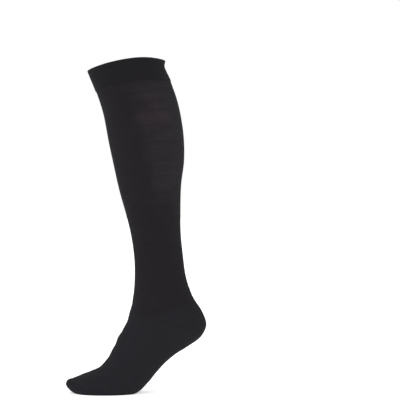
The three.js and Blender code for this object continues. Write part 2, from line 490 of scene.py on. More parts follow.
def heel_places(shares: np.ndarray, angle: np.ndarray) -> tuple[np.ndarray, np.ndarray]:
    """Places in the heel by the share of the way that they lie from its upper edge to its lower one.

    Args:
        shares: shares of the way along the surface, from 0 to 1.
        angle: angles round from the front.

    Returns:
        The places, as (shares, angles), and the length of the way at each angle in metres.
    """
    fine = np.linspace(ROW["heel_start"], ROW["heel_end"], HEEL_STEPS)
    line = FORM.at(fine[:, None], angle[None, :])
    steps = np.linalg.norm(np.diff(line, axis=0), axis=-1) + LEAST_STEP
    along = np.concatenate([np.zeros((1, len(angle))), np.cumsum(steps, axis=0)])
    places = np.stack([np.interp(shares * column[-1], column, fine) for column in along.T], 1)
    return places, along[-1]


# Meshes


@dataclass(frozen=True)
class KnitGrid:
    """A grid of points on the surface, as (rows, columns, 3), with the wale and course of each point."""

    points: np.ndarray
    wale: np.ndarray
    course: np.ndarray

    def faces(self) -> np.ndarray:
        """Joins the points.

        Returns:
            The grid's quads, as indexes into its points.
        """
        rows, columns = self.wale.shape
        index = np.arange(rows * columns).reshape(rows, columns)
        corners = [index[:-1, :-1], index[:-1, 1:], index[1:, 1:], index[1:, :-1]]
        return np.stack([corner.ravel() for corner in corners], 1)


def grid_mesh(name: str, grids: Sequence[KnitGrid]) -> bpy.types.Object:
    """A mesh over one or more grids, with a UV map that counts wales and courses.

    Args:
        name: the object's name.
        grids: the grids, which may meet along an edge.

    Returns:
        The linked object, with points that lie together made one.
    """
    starts = np.cumsum([0] + [grid.wale.size for grid in grids[:-1]])
    faces = np.concatenate([grid.faces() + start for grid, start in zip(grids, starts)])
    points = np.concatenate([grid.points.reshape(-1, 3) for grid in grids])
    counts = np.concatenate([np.stack([grid.wale, grid.course], -1).reshape(-1, 2) for grid in grids])
    mesh = bpy.data.meshes.new(name)
    mesh.from_pydata(points.tolist(), [], faces.tolist())
    knit_map = mesh.uv_layers.new(name=KNIT_MAP)
    corner_vertices = np.zeros(len(mesh.loops), np.int32)
    mesh.loops.foreach_get("vertex_index", corner_vertices)
    knit_map.uv.foreach_set("vector", counts[corner_vertices].astype(np.float32).ravel())
    piece = bpy.data.objects.new(name, mesh)
    bpy.context.scene.collection.objects.link(piece)
    weld(mesh)
    mesh.polygons.foreach_set("use_smooth", [True] * len(mesh.polygons))
    return piece


def weld(mesh: bpy.types.Mesh, distance: float = 1e-6) -> None:
    """Makes points that lie together one, and drops the faces that this leaves without area.

    Args:
        mesh: the mesh to change.
        distance: how near two points are when they become one, in metres.
    """
    work = bmesh.new()
    work.from_mesh(mesh)
    bmesh.ops.remove_doubles(work, verts=work.verts, dist=distance)
    bmesh.ops.dissolve_degenerate(work, dist=distance, edges=work.edges)
    work.to_mesh(mesh)
    work.free()


def add_stretch(piece: bpy.types.Object, rows: int, columns: int) -> None:
    """Stores how far the leg's knit is stretched at each point, as worn girth over relaxed girth.

    Args:
        piece: the leg, whose mesh gets the attribute.
        rows: how many rows its grid has.
        columns: how many columns its grid has.
    """
    place = np.linspace(ROW["band_end"], ROW["heel_start"], rows)
    angle = np.linspace(0, FULL_TURN, columns + 1)
    grid_points = FORM.at(place[:, None], angle[None, :]).reshape(-1, 3)
    ring = FORM.at(place[:, None], np.linspace(0, FULL_TURN, GIRTH_STEPS)[None, :])
    girth = np.linalg.norm(np.diff(ring, axis=1), axis=-1).sum(1)
    stretch = np.repeat(girth / relaxed_girth(place), len(angle))
    tree = KDTree(len(grid_points))
    for index, point in enumerate(grid_points):
        tree.insert(point, index)
    tree.balance()
    values = [stretch[tree.find(vertex.co)[1]] for vertex in piece.data.vertices]
    layer = piece.data.attributes.new(STRETCH_LAYER, "FLOAT", "POINT")
    layer.data.foreach_set("value", np.array(values, np.float32))


def thicken(piece: bpy.types.Object, thickness: float) -> None:
    """Gives a sheet its thickness, inwards, with the inside in the second material.

    Args:
        piece: the sheet.
        thickness: the cloth's thickness in metres.
    """
    shell = piece.modifiers.new("thickness", "SOLIDIFY")
    shell.thickness = thickness
    shell.offset = -1
    shell.use_even_offset = True
    shell.material_offset = 1
    shell.material_offset_rim = 0
    depsgraph = bpy.context.evaluated_depsgraph_get()
    made = bpy.data.meshes.new_from_object(piece.evaluated_get(depsgraph))
    old = piece.data
    piece.modifiers.clear()
    piece.data = made
    bpy.data.meshes.remove(old)
    made.name = piece.name
    made.set_sharp_from_angle(angle=SHARP)


def stand_for(piece: bpy.types.Object, node: str) -> None:
    """Puts a knitted piece in a solid's place.

    Args:
        piece: the piece.
        node: the solid's node.
    """
    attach(piece, BODY)
    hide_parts(node)


# Node helpers

Node = bpy.types.Node
Socket = bpy.types.NodeSocket
Sockets = dict[str, Socket]
FLOAT_SOCKET = "NodeSocketFloat"
MIX_INPUTS = (0, 6, 7)  # the Mix node's share and its two colours, by number
MIX_RESULT = 2  # the Mix node's colour output, by number


@dataclass(frozen=True)
class Ramp:
    """A smooth change from one result to another, over a range of the value that drives it."""

    low: float
    high: float
    first: float = 0.0
    last: float = 1.0


@dataclass
class NodeSheet:
    """A node tree with short ways to add and join nodes."""

    tree: bpy.types.NodeTree

    def add(self, kind: str, settings: Optional[dict[str, object]] = None, **inputs: object) -> Node:
        """Adds a node.

        Args:
            kind: the node's type name, without ShaderNode.
            settings: properties to set on the node.
            inputs: values or sockets for its inputs, by name with _ for spaces.

        Returns:
            The node.
        """
        node = self.tree.nodes.new("ShaderNode" + kind)
        for key, value in (settings or {}).items():
            setattr(node, key, value)
        self.feed(node, **inputs)
        return node

    def feed(self, node: Node, **inputs: object) -> None:
        """Feeds a node's inputs.

        Args:
            node: the node.
            inputs: values or sockets for its inputs, by name with _ for spaces.
        """
        for key, value in inputs.items():
            self.join(node.inputs[key.replace("_", " ")], value)

    def join(self, socket: Socket, value: object) -> None:
        """Feeds one input.

        Args:
            socket: the input.
            value: the output to link to it, or the value to set.
        """
        if isinstance(value, Socket):
            self.tree.links.new(value, socket)
        else:
            socket.default_value = value

    def math(self, operation: str, *values: object, clamp: bool = False) -> Socket:
        """Adds a Math node.

        Args:
            operation: the node's operation.
            values: its inputs, in order.
            clamp: whether the result is kept from 0 to 1.

        Returns:
            The node's output.
        """
        node = self.add("Math", {"operation": operation, "use_clamp": clamp})
        for socket, value in zip(node.inputs, values):
            self.join(socket, value)
        return node.outputs[0]

    def times(self, *values: object) -> Socket:
        """Multiplies values.

        Args:
            values: two or more values or sockets.

        Returns:
            Their product.
        """
        product = values[0]
        for value in values[1:]:
            product = self.math("MULTIPLY", product, value)
        return product

    def off_half(self, value: object) -> Socket:
        """How far a value lies from one half."""
        return self.math("ABSOLUTE", self.math("SUBTRACT", value, 0.5))

    def remap(self, value: object, ramp: Ramp) -> Socket:
        """Maps a range of values to another, smoothly and clamped.

        Args:
            value: the socket to map.
            ramp: the two ranges.

        Returns:
            The mapped value.
        """
        node = self.add("MapRange", {"interpolation_type": "SMOOTHSTEP"})
        for socket, setting in zip(node.inputs, (value, ramp.low, ramp.high, ramp.first, ramp.last)):
            self.join(socket, setting)
        return node.outputs[0]

    def mix(self, share: object, first: object, second: object) -> Socket:
        """Mixes two colours.

        Args:
            share: how much of the second colour there is, from 0 to 1.
            first: the colour at 0.
            second: the colour at 1.

        Returns:
            The mixed colour.
        """
        node = self.add("Mix", {"data_type": "RGBA"})
        for number, value in zip(MIX_INPUTS, (share, first, second)):
            self.join(node.inputs[number], value)
        return node.outputs[MIX_RESULT]


@dataclass
class EffectGroup:
    """A shader node group with named inputs and outputs, built once however many materials use it."""

    name: str
    inputs: dict[str, float]
    outputs: Sequence[str]
    build: Callable[[NodeSheet, Sockets], Sockets]
    tree: Optional[bpy.types.NodeTree] = field(default=None, init=False)

    def made(self) -> bpy.types.NodeTree:
        """Builds the group the first time.

        Returns:
            The group's node tree.
        """
        if self.tree is None:
            self.tree = bpy.data.node_groups.new(self.name, "ShaderNodeTree")
            interface = self.tree.interface
            for name, value in self.inputs.items():
                socket = interface.new_socket(name=name, in_out="INPUT", socket_type=FLOAT_SOCKET)
                socket.default_value = value
            for name in self.outputs:
                interface.new_socket(name=name, in_out="OUTPUT", socket_type=FLOAT_SOCKET)
            entry = self.tree.nodes.new("NodeGroupInput")
            leave = self.tree.nodes.new("NodeGroupOutput")
            sheet = NodeSheet(self.tree)
            made = self.build(sheet, {name: entry.outputs[name] for name in self.inputs})
            for name in self.outputs:
                sheet.join(leave.inputs[name], made[name])
        return self.tree

    def place(self, sheet: NodeSheet, **inputs: object) -> Sockets:
        """Places the group in a material.

        Args:
            sheet: the material's nodes.
            inputs: values or sockets for its inputs, by name.

        Returns:
            The group's outputs by name.
        """
        node = sheet.tree.nodes.new("ShaderNodeGroup")
        node.node_tree = self.made()
        sheet.feed(node, **inputs)
        return {name: node.outputs[name] for name in self.outputs}


def build_loops(sheet: NodeSheet, given: Sockets) -> Sockets:
    """Plain knit: each wale is a column of V-shaped loops, two slanting legs with a gap between the wales.

    Args:
        sheet: the group's nodes.
        given: Wale and Course, the counts across and down, and Slant, how far a leg climbs in half a wale.

    Returns:
        Height, from 0 in the gaps to 1 on the loops.
    """
    leg_middle = 0.25
    leg_slimness = 0.92
    crown_bluntness = 0.7
    off_middle = sheet.off_half(sheet.math("FRACT", given["Wale"]))
    climb = sheet.times(off_middle, given["Slant"], 2.0)
    off_crown = sheet.off_half(sheet.math("FRACT", sheet.math("ADD", given["Course"], climb)))
    crown = sheet.math("POWER", sheet.math("COSINE", sheet.times(off_crown, math.pi)), crown_bluntness)
    off_leg = sheet.math("ABSOLUTE", sheet.math("SUBTRACT", off_middle, leg_middle))
    leg = sheet.math("MAXIMUM", sheet.math("COSINE", sheet.times(off_leg, FULL_TURN * leg_slimness)), 0.0)
    return {"Height": sheet.math("MULTIPLY", crown, leg, clamp=True)}


def build_purl(sheet: NodeSheet, given: Sockets) -> Sockets:
    """The back of plain knit: rows of small arcs that lie across the wales.

    Args:
        sheet: the group's nodes.
        given: Wale and Course, the counts across and down.

    Returns:
        Height, from 0 between the rows to 1 on the arcs.
    """
    arc_rise = 0.9
    bow = sheet.times(sheet.off_half(sheet.math("FRACT", given["Wale"])), arc_rise)
    off_crown = sheet.off_half(sheet.math("FRACT", sheet.math("ADD", given["Course"], bow)))
    return {"Height": sheet.math("COSINE", sheet.times(off_crown, math.pi))}


def build_yarn_tone(sheet: NodeSheet, given: Sockets) -> Sockets:
    """Uneven yarn: courses that are a little lighter or darker along their length, and single flecks.

    Args:
        sheet: the group's nodes.
        given: Wale and Course, the counts across and down, and Amount, the strength.

    Returns:
        Tone, a factor near 1 for the colour.
    """
    streak_radius = 1.2
    streak_rise = 0.37
    fleck_share = 0.35
    turn = sheet.times(given["Wale"], FULL_TURN / WALES)
    ring = [sheet.times(sheet.math(kind, turn), streak_radius) for kind in ("COSINE", "SINE")]
    course = sheet.math("FLOOR", given["Course"])
    along = sheet.add("CombineXYZ", X=ring[0], Y=sheet.times(course, streak_rise), Z=ring[1])
    streak = sheet.add("TexNoise", Vector=along.outputs[0], Scale=1.0, Detail=2.0)
    loop = sheet.add("CombineXYZ", X=sheet.math("FLOOR", given["Wale"]), Y=course)
    fleck = sheet.add("TexWhiteNoise", {"noise_dimensions": "2D"}, Vector=loop.outputs[0])
    wide = sheet.math("SUBTRACT", streak.outputs[0], 0.5)
    small = sheet.times(sheet.math("SUBTRACT", fleck.outputs[0], 0.5), fleck_share)
    return {"Tone": sheet.math("ADD", sheet.times(sheet.math("ADD", wide, small), given["Amount"]), 1.0)}


def knit_noise(sheet: NodeSheet, given: Sockets, across: float, down: float, detail: float) -> Socket:
    """Soft noise over the knit.

    Args:
        sheet: the group's nodes.
        given: Wale and Course, the counts across and down.
        across: how far the noise moves on from one wale to the next.
        down: how far it moves on from one course to the next.
        detail: how many finer layers it has.

    Returns:
        A value around one half.
    """
    x = sheet.times(given["Wale"], across)
    place = sheet.add("CombineXYZ", X=x, Y=sheet.times(given["Course"], down))
    return sheet.add("TexNoise", Vector=place.outputs[0], Scale=1.0, Detail=detail).outputs[0]


OPEN_TIGHT = Ramp(1.22, 1.38)  # by worn girth over relaxed girth
OPEN_BEHIND = Ramp(0.36, 0.66)  # by how far round to the back, from 0 to 1
OPEN_BEFORE_BACK = Ramp(0.84, 0.99, 1.0, 0.25)
OPEN_BELOW_BAND = Ramp(30.0, 58.0, 0.35, 1.0)  # by course
OPEN_BARS = Ramp(0.36, 0.64, 0.6, 1.0)  # by the noise that makes the bars
WARM_FRONT = Ramp(0.46, 0.6)  # by how far round to the back
WARM_BACK = Ramp(0.7, 0.88, 1.0, 0.0)
WARM_TOP = Ramp(50.0, 72.0)  # by course
WARM_BOTTOM = Ramp(92.0, 128.0, 1.0, 0.0)


def build_stretch_zone(sheet: NodeSheet, given: Sockets) -> Sockets:
    """Where the knit is stretched over the calf it opens, in a soft patch with bars along the courses.

    Args:
        sheet: the group's nodes.
        given: Stretch, worn girth over relaxed girth; Wale and Course, the counts across and down; Lean, how
            far round to the back it is, from 0 to 1.

    Returns:
        Open, from 0 where the knit is closed to 1 where it is most open, and Warm, 1 where it is thinnest.
    """
    edge_swing = 0.5
    stretch_swing = 0.25
    cloud = knit_noise(sheet, given, across=0.05, down=0.035, detail=2.0)
    swing = sheet.times(sheet.math("SUBTRACT", cloud, 0.5), edge_swing)
    lean = sheet.math("ADD", given["Lean"], swing)
    stretch = sheet.math("ADD", given["Stretch"], sheet.times(swing, stretch_swing))
    bars = knit_noise(sheet, given, across=0.018, down=0.16, detail=3.0)
    opened = (
        sheet.remap(stretch, OPEN_TIGHT),
        sheet.remap(lean, OPEN_BEHIND),
        sheet.remap(given["Lean"], OPEN_BEFORE_BACK),
        sheet.remap(bars, OPEN_BARS),
        sheet.remap(given["Course"], OPEN_BELOW_BAND),
    )
    warm = [sheet.remap(lean, ramp) for ramp in (WARM_FRONT, WARM_BACK)]
    warm += [sheet.remap(given["Course"], ramp) for ramp in (WARM_TOP, WARM_BOTTOM)]
    return {"Open": sheet.times(*opened), "Warm": sheet.times(*warm)}


LOOPS = EffectGroup("plain knit loops", {"Wale": 0.0, "Course": 0.0, "Slant": 0.8}, ("Height",), build_loops)
PURL = EffectGroup("purl side", {"Wale": 0.0, "Course": 0.0}, ("Height",), build_purl)
YARN_TONE = EffectGroup(
    "uneven yarn", {"Wale": 0.0, "Course": 0.0, "Amount": 0.3}, ("Tone",), build_yarn_tone
)
STRETCH_ZONE = EffectGroup(
    "stretched calf",
    {"Stretch": 1.0, "Wale": 0.0, "Lean": 0.0, "Course": 0.0},
    ("Open", "Warm"),
    build_stretch_zone,
)


def new_material(name: str) -> tuple[bpy.types.Material, NodeSheet]:
    """Starts a material.

    Args:
        name: the material's name.

    Returns:
        The material and its nodes.
    """
    material = bpy.data.materials.new(name)
    material.use_nodes = True
    return material, NodeSheet(material.node_tree)


def feed_shader(sheet: NodeSheet, **inputs: object) -> None:
    """Feeds a material's Principled shader, by the names of its inputs with _ for spaces."""
    sheet.feed(sheet.tree.nodes["Principled BSDF"], **inputs)


def knit_counts(sheet: NodeSheet) -> Sockets:
    """Reads the knit map.

    Args:
        sheet: a knit material's nodes.

    Returns:
        Wale and Course, the counts across and down.
    """
    knit_map = sheet.add("UVMap", {"uv_map": KNIT_MAP})
    counts = sheet.add("SeparateXYZ", Vector=knit_map.outputs[0])
    return {"Wale": counts.outputs[0], "Course": counts.outputs[1]}


def uneven(sheet: NodeSheet, counts: Sockets, colour: object, amount: float) -> Socket:
    """Makes a colour as uneven as yarn is.

    Args:
        sheet: a knit material's nodes.
        counts: Wale and Course, the counts across and down.
        colour: the colour.
        amount: how uneven it gets.

    Returns:
        The colour, scaled by the yarn's tone.
    """
    tone = YARN_TONE.place(sheet, Amount=amount, **counts)
    toned = sheet.add("VectorMath", {"operation": "SCALE"}, Scale=tone["Tone"])
    sheet.join(toned.inputs[0], colour)
    return toned.outputs[0]


def raised(sheet: NodeSheet, height: object, depth: float, strength: float = 1.0) -> Socket:
    """Adds a Bump node.

    Args:
        sheet: a material's nodes.
        height: the height, from 0 to 1.
        depth: the real height of 1, in metres.
        strength: how much of the bump is used.

    Returns:
        The bumped normal.
    """
    return sheet.add("Bump", Strength=strength, Distance=depth, Height=height).outputs[0]


# Finishes

Colour = tuple[float, float, float, float]


@dataclass(frozen=True)
class KnitFinish:
    """The right side of the knit: loops in rows, in matte yarn with a faint cool fuzz.

    ground is painted shade in the gaps between the loops. opened is the yarn's colour where the knit is
    stretched open, and warm where it is thinnest. slant is how far the loops' legs climb, and tone is how
    uneven the yarn is.
    """

    name: str
    yarn: Colour
    ground: Colour
    loop_depth: float
    slant: float
    opened: Optional[Colour] = None
    warm: Optional[Colour] = None
    roughness: float = 0.86
    gap_roughness: float = 0.96
    gloss: float = 0.05
    tone: float = 0.3
    fuzz: float = 0.014
    fuzz_spread: float = 0.42
    fuzz_tint: Colour = (0.62, 0.66, 0.86, 1)

    def worn_yarn(self, sheet: NodeSheet, counts: Sockets) -> object:
        """The yarn's colour, lighter where the knit is stretched open.

        Args:
            sheet: the material's nodes.
            counts: Wale and Course, the counts across and down.

        Returns:
            The plain colour, or a socket where the finish has opened colours.
        """
        if self.opened is None or self.warm is None:
            return self.yarn
        stretch = sheet.add("Attribute", {"attribute_name": STRETCH_LAYER}).outputs["Fac"]
        turn = sheet.math("COSINE", sheet.times(counts["Wale"], FULL_TURN / WALES))
        lean = sheet.times(sheet.math("SUBTRACT", 1.0, turn), 0.5)
        zone = STRETCH_ZONE.place(sheet, Stretch=stretch, Lean=lean, **counts)
        return sheet.mix(zone["Open"], self.yarn, sheet.mix(zone["Warm"], self.opened, self.warm))

    def material(self) -> bpy.types.Material:
        """Builds the finish.

        Returns:
            The material.
        """
        material, sheet = new_material(self.name)
        counts = knit_counts(sheet)
        height = LOOPS.place(sheet, Slant=self.slant, **counts)["Height"]
        # Painted shade: the gaps between the loops take the dark ground colour, the loops take the yarn's
        # colour.
        colour = sheet.mix(height, self.ground, self.worn_yarn(sheet, counts))
        feed_shader(
            sheet,
            Base_Color=uneven(sheet, counts, colour, self.tone),
            Roughness=sheet.remap(height, Ramp(0.0, 1.0, self.gap_roughness, self.roughness)),
            Normal=raised(sheet, height, self.loop_depth),
            Specular_IOR_Level=self.gloss,
            Sheen_Weight=self.fuzz,
            Sheen_Roughness=self.fuzz_spread,
            Sheen_Tint=self.fuzz_tint,
        )
        return material


@dataclass(frozen=True)
class InsideFinish:
    """The wrong side of the knit, seen through the opening.

    ground is painted shade in the hollows between the rows of arcs, and row_depth is how far the arcs stand
    out, in metres.
    """

    name: str
    yarn: Colour
    ground: Colour
    row_depth: float = 0.18 * MM
    roughness: float = 0.92
    gloss: float = 0.12
    tone: float = 0.4
    fuzz: float = 0.04

    def material(self) -> bpy.types.Material:
        """Builds the finish.

        Returns:
            The material.
        """
        material, sheet = new_material(self.name)
        counts = knit_counts(sheet)
        height = PURL.place(sheet, **counts)["Height"]
        # Painted shade: the hollows between the arcs take the dark ground colour.
        colour = sheet.mix(height, self.ground, self.yarn)
        feed_shader(
            sheet,
            Base_Color=uneven(sheet, counts, colour, self.tone),
            Roughness=self.roughness,
            Normal=raised(sheet, height, self.row_depth),
            Specular_IOR_Level=self.gloss,
            Sheen_Weight=self.fuzz,
        )
        return material


@dataclass(frozen=True)
class ThreadFinish:
    """Sewing or linking thread: a plain twisted yarn, with painted shade in the hollows of its twist.

    hollow is the share of the yarn's colour that is left in the hollows, as painted shade.
    """

    name: str
    yarn: Colour
    hollow: float = 0.6
    twist_scale: float = 2400.0
    twist_depth: float = 0.08 * MM
    twist_strength: float = 0.5
    roughness: float = 0.82
    gloss: float = 0.07

    def material(self) -> bpy.types.Material:
        """Builds the finish.

        Returns:
            The material.
        """
        material, sheet = new_material(self.name)
        place = sheet.add("TexCoord").outputs["Object"]
        twist = sheet.add("TexNoise", Vector=place, Scale=self.twist_scale, Detail=1.0).outputs[0]
        # Painted shade: the yarn is darkened where the twist's bump is low.
        hollow = (*(self.hollow * channel for channel in self.yarn[:3]), 1)
        feed_shader(
            sheet,
            Base_Color=sheet.mix(twist, hollow, self.yarn),
            Roughness=self.roughness,
            Normal=raised(sheet, twist, self.twist_depth, self.twist_strength),
            Specular_IOR_Level=self.gloss,
        )
        return material


# Each finish's ground is painted shade, the dark colour laid in the gaps between the loops.
LEG_KNIT = KnitFinish(
    name="leg knit",
    yarn=(0.0226, 0.0201, 0.0235, 1),
    ground=(0.0057, 0.0051, 0.0062, 1),
    loop_depth=0.22 * MM,
    slant=0.8,
    opened=(0.0357, 0.0322, 0.0352, 1),
    warm=(0.047, 0.0352, 0.0413, 1),
)
FOOT_KNIT = KnitFinish(
    name="foot knit",
    yarn=(0.0227, 0.0212, 0.0248, 1),
    ground=(0.0062, 0.0058, 0.0072, 1),
    loop_depth=0.19 * MM,
    slant=0.7,
    fuzz=0.012,
)
BAND_KNIT = KnitFinish(
    name="band knit",
    yarn=(0.0198, 0.0183, 0.0208, 1),
    ground=(0.0048, 0.0044, 0.0052, 1),
    loop_depth=0.26 * MM,
    slant=0.55,
)
# The inside's ground is painted shade in the hollows between the purl arcs.
INSIDE_KNIT = InsideFinish("purl side knit", yarn=(0.021, 0.019, 0.021, 1), ground=(0.009, 0.008, 0.009, 1))
THREAD = ThreadFinish("linking thread", yarn=(0.0172, 0.016, 0.0188, 1))
FINISHES = (LEG_KNIT, FOOT_KNIT, BAND_KNIT, INSIDE_KNIT, THREAD)
Materials = dict[str, bpy.types.Material]


# Pieces


@dataclass
class KnitStretch:
    """A stretch of the tube, all the way round from one section to another.

    cut is the flat size of its relaxed knit, round by long, in metres; it is not used.
    """

    name: str
    node: str
    slot: Slot
    finish: KnitFinish
    first: str
    last: str
    cut: tuple[float, float]
    rows: int
    columns: int = 220

    def grids(self) -> list[KnitGrid]:
        """Lays the points.

        Returns:
            The grids that the stretch is made over.
        """
        place = np.linspace(ROW[self.first], ROW[self.last], self.rows)
        angle = np.linspace(0, FULL_TURN, self.columns + 1)
        places, angles = np.meshgrid(place, angle, indexing="ij")
        course = np.broadcast_to(course_at(place)[:, None], places.shape)
        return [KnitGrid(FORM.at(places, angles), wale_at(places, angles), course)]

    def build(self, materials: Materials) -> bpy.types.Object:
        """Makes the shell, dresses it and puts it in the solid's place.

        Args:
            materials: the finished materials by name.

        Returns:
            The piece.
        """
        piece = grid_mesh(self.name, self.grids())
        if self.slot is Slot.LEG:
            add_stretch(piece, self.rows, self.columns)
        piece.data.materials.append(materials[self.finish.name])
        piece.data.materials.append(materials[INSIDE_KNIT.name])
        thicken(piece, CLOTH)
        stand_for(piece, self.node)
        return piece


@dataclass
class HeelPocket(KnitStretch):
    """The heel, knitted in short rows that lie along its upper edge, then along its lower one.

    The two sets of rows meet at a gore.
    """

    def grids(self) -> list[KnitGrid]:
        """Lays the points.

        Returns:
            One grid above the gore and one below it.
        """
        angle = np.linspace(QUARTER_TURN, THREE_QUARTER_TURN, self.columns // 2 + 1)
        rows = self.rows // 2
        spans = ((0, self.first, np.linspace(0, GORE, rows)), (1, self.last, np.linspace(GORE, 1, rows)))
        halves = []
        for edge, section, shares in spans:
            places, lengths = heel_places(shares, angle)
            angles = np.broadcast_to(angle, places.shape)
            from_edge = (shares[:, None] - edge) * lengths / COURSE
            course = course_at(np.array([ROW[section]], float)) + from_edge
            halves.append(KnitGrid(FORM.at(places, angles), wale_at(places, angles), course))
        return halves


@dataclass
class ToeCap(KnitStretch):
    """The toe, narrowed at both sides: its wales keep their width and end at a gore down each side."""

    def grids(self) -> list[KnitGrid]:
        """Lays the points.

        Returns:
            One grid over the top of the toes and one under them.
        """
        place = np.linspace(ROW[self.first], ROW[self.last], self.rows)
        half_girth = half_ring_lengths(place[:1])[0, -1]
        half = self.columns // 4
        halves = []
        for middle in (0.0, math.pi):
            angle = middle + np.linspace(-QUARTER_TURN, QUARTER_TURN, 2 * half + 1)
            places, angles = np.meshgrid(place, angle, indexing="ij")
            points = FORM.at(places, angles)
            points[-1] = self.closed_end(angle)
            along = lengths_along(points, axis=1)
            from_middle = (along - along[:, half : half + 1]) / half_girth
            wale = WALES / 2 * (middle / math.pi + from_middle)
            course = course_at(place[:1]) + lengths_along(points) / COURSE
            halves.append(KnitGrid(points, wale, course))
        return halves

    def closed_end(self, angle: np.ndarray) -> np.ndarray:
        """The line across the toe on which both grids end.

        Args:
            angle: angles round from the front.

        Returns:
            One point for each angle, in metres.
        """
        end = SECTIONS[ROW[self.last]]
        across = 0.5 * end.width * np.sin(angle)
        return np.stack([np.full(len(angle), end.side[0]), across, np.full(len(angle), end.side[1])], 1) * MM


@dataclass
class TopBand:
    """The doubled band: knit that turns over a covered elastic at the top and is caught down inside.

    proud is how far it stands out of the tube below it, roll is the radius of its top edge, and crown is the
    height of that edge over the rim. In sections, overlap is how far it reaches past its end, edge is how far
    its lower edge takes to rise to its full thickness, and below_rim is a short way down the wall.
    """

    cut: tuple[float, float] = (0.26, 0.033)
    proud: float = 0.8 * MM
    roll: float = 1.15 * MM
    crown: float = 0.8 * MM
    overlap: float = 0.03
    edge: float = 0.06
    below_rim: float = 0.15
    columns: int = 240
    wall_rows: int = 28
    roll_steps: int = 9

    def profile(self) -> tuple[np.ndarray, np.ndarray, np.ndarray]:
        """The band's section, from the outer lower edge, over the top and down the inside.

        Returns:
            Places down the table of sections, how far out of the tube's surface the section lies there, and
            how far it rises above the rim.
        """
        lowest = ROW["band_end"] + self.overlap
        up = np.linspace(lowest, 0, self.wall_rows)
        step = np.clip((lowest - up) / self.edge, 0, 1)
        out = self.proud * np.sqrt(step * (2 - step))
        turn = np.linspace(0, math.pi, self.roll_steps + 2)[1:-1]
        across = self.proud - self.roll + self.roll * np.cos(turn)
        inside = np.full(self.wall_rows, self.proud - 2 * self.roll)
        flat = np.zeros(self.wall_rows)
        place = np.concatenate([up, np.zeros(self.roll_steps), up[::-1]])
        rise = np.concatenate([flat, self.crown * np.sin(turn), flat])
        return place, np.concatenate([out, across, inside]), rise

    def build(self, materials: Materials) -> bpy.types.Object:
        """Makes the band as one closed ring of cloth, dresses it and puts it in the solid's place.

        Args:
            materials: the finished materials by name.

        Returns:
            The piece.
        """
        place, out, rise = (np.append(line, line[0]) for line in self.profile())
        angle = np.linspace(0, FULL_TURN, self.columns + 1)
        places, angles = np.meshgrid(place, angle, indexing="ij")
        up_wall = FORM.at(0.0, angle) - FORM.at(self.below_rim, angle)
        up_wall /= np.linalg.norm(up_wall, axis=1, keepdims=True)
        points = FORM.at(places, angles) + FORM.normal(places, angles) * out[:, None, None]
        points = points + up_wall[None] * rise[:, None, None]
        course = np.broadcast_to(-lengths_along(points[:, 0])[:, None] / COURSE, places.shape)
        piece = grid_mesh("top_band_knit", [KnitGrid(points, wale_at(places, angles), course)])
        piece.data.materials.append(materials[BAND_KNIT.name])
        stand_for(piece, "top_band")
        return piece


Line = Callable[[np.ndarray], tuple[np.ndarray, np.ndarray]]


